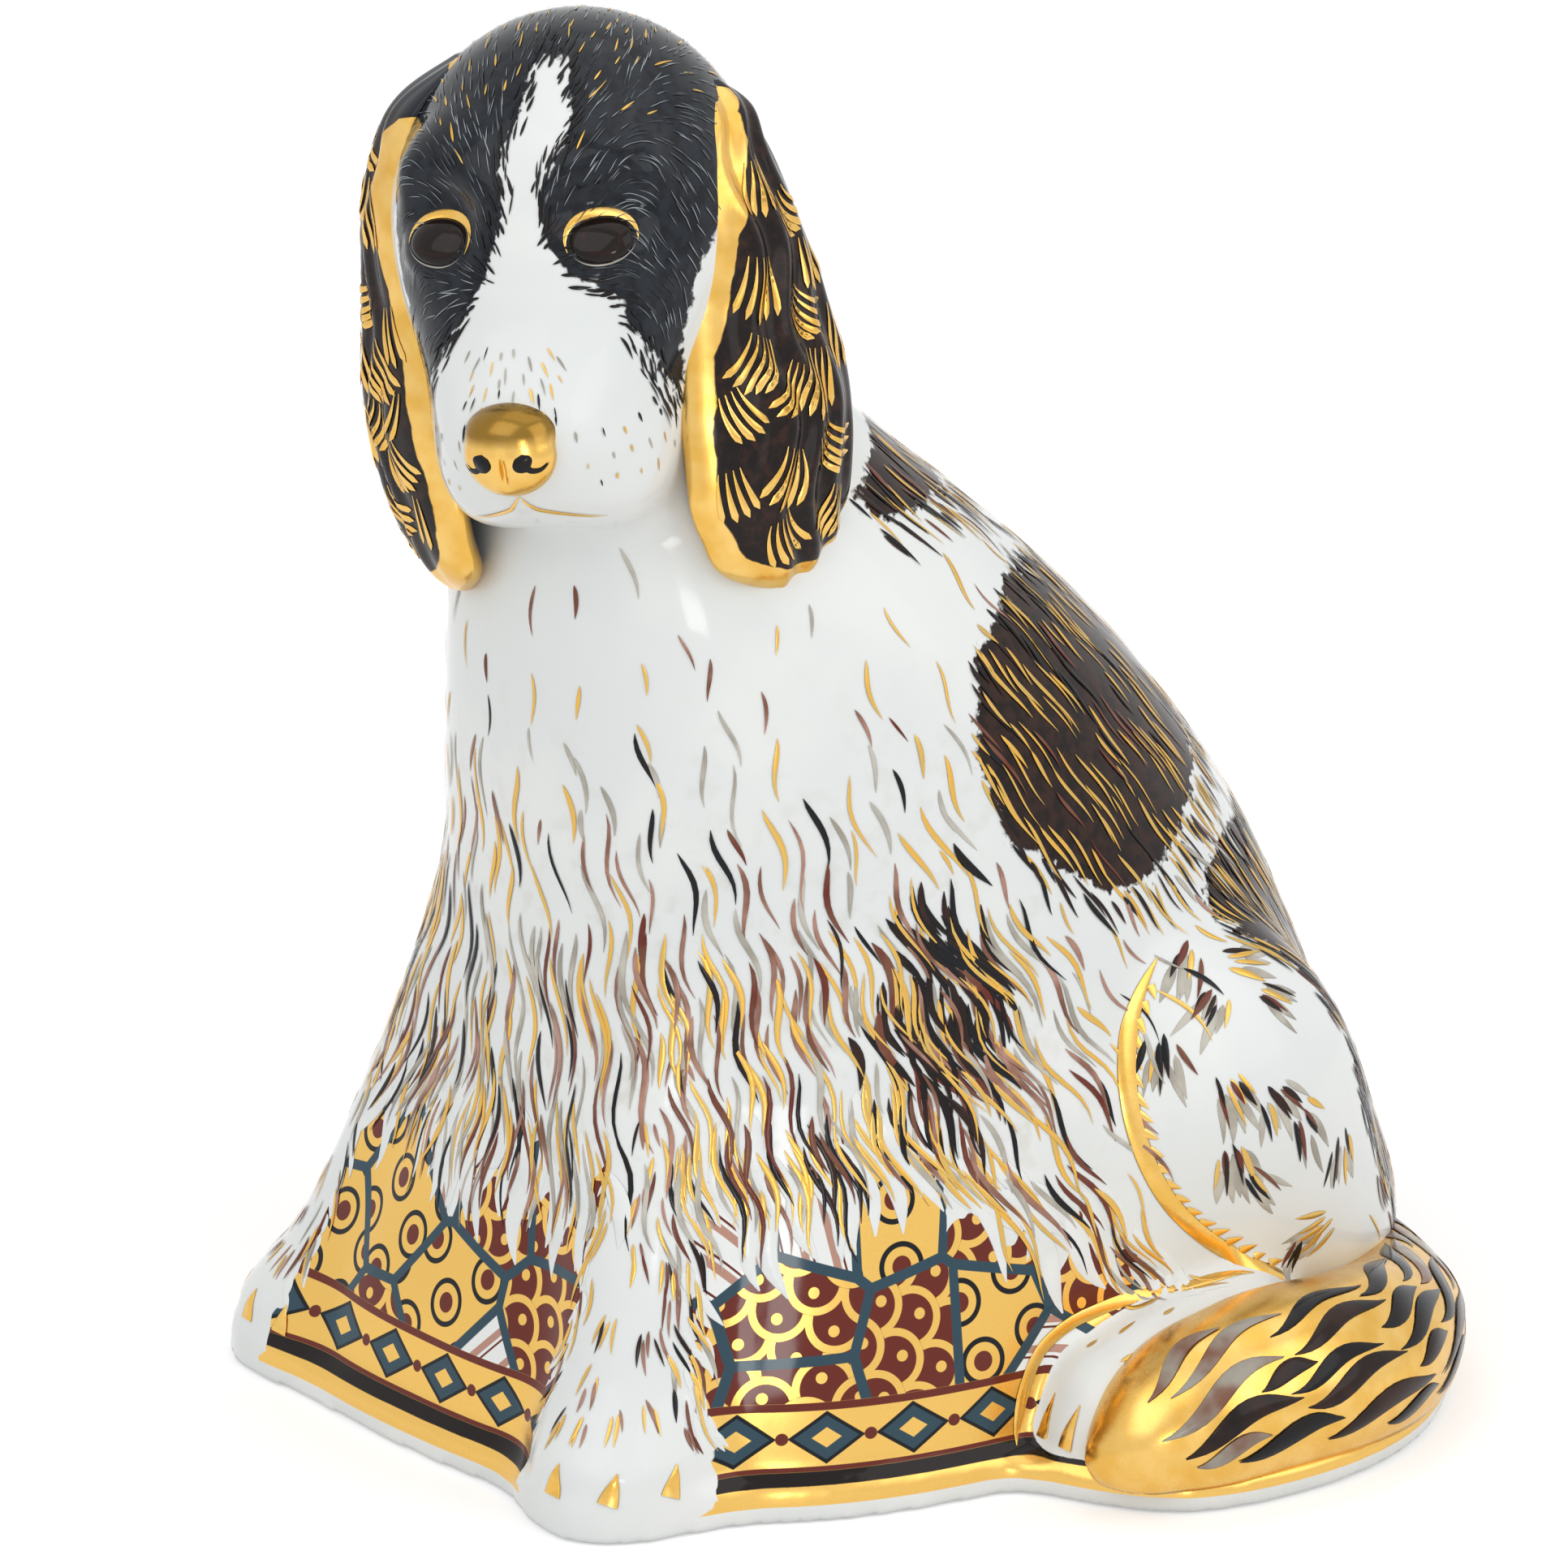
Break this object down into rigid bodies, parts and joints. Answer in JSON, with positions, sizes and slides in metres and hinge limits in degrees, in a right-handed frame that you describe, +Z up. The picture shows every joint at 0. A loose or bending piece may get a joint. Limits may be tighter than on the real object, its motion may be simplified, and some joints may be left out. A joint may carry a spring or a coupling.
{
  "type": "dog figurine",
  "caption": "Sitting spaniel figurine in glazed, gilded bone china: hollow trunk and head, luted ears, legs and tail on a foot plate, with a pull-out stopper underneath.",
  "frame": {"origin": "centre of the foot plate's plan, on the surface that the figurine stands on", "axes": "+Z up, the body faces -Y, the dog's left side is +X"},
  "size_m": [0.1035, 0.0976, 0.13],
  "materials": {
    "white_china": "white bone china under a clear gloss glaze",
    "painted_head": "bone china painted blue-black with a white blaze and muzzle, under a gloss glaze",
    "painted_ear": "bone china painted umber black with gilded strokes and edge",
    "gilded_tail": "bone china gilded, with dark painted strokes",
    "stopper_china": "white bone china under a clear gloss glaze"
  },
  "bodies": {
    "figurine": {"trunk_shell": "white_china", "head_shell": "painted_head", "ear_left": "painted_ear", "ear_right": "painted_ear", "foreleg_left": "white_china", "foreleg_right": "white_china", "haunch_left": "white_china", "haunch_right": "white_china", "hind_paw_left": "white_china", "hind_paw_right": "white_china", "tail": "gilded_tail", "base_plate": "white_china"},
    "stopper": {"stopper": "stopper_china"}
  },
  "joints": [
    {"name": "stopper_pull", "type": "slide", "parent": "figurine", "child": "stopper", "axis": [0, 0, -1], "range_m": [0, 0.012]}
  ]
}
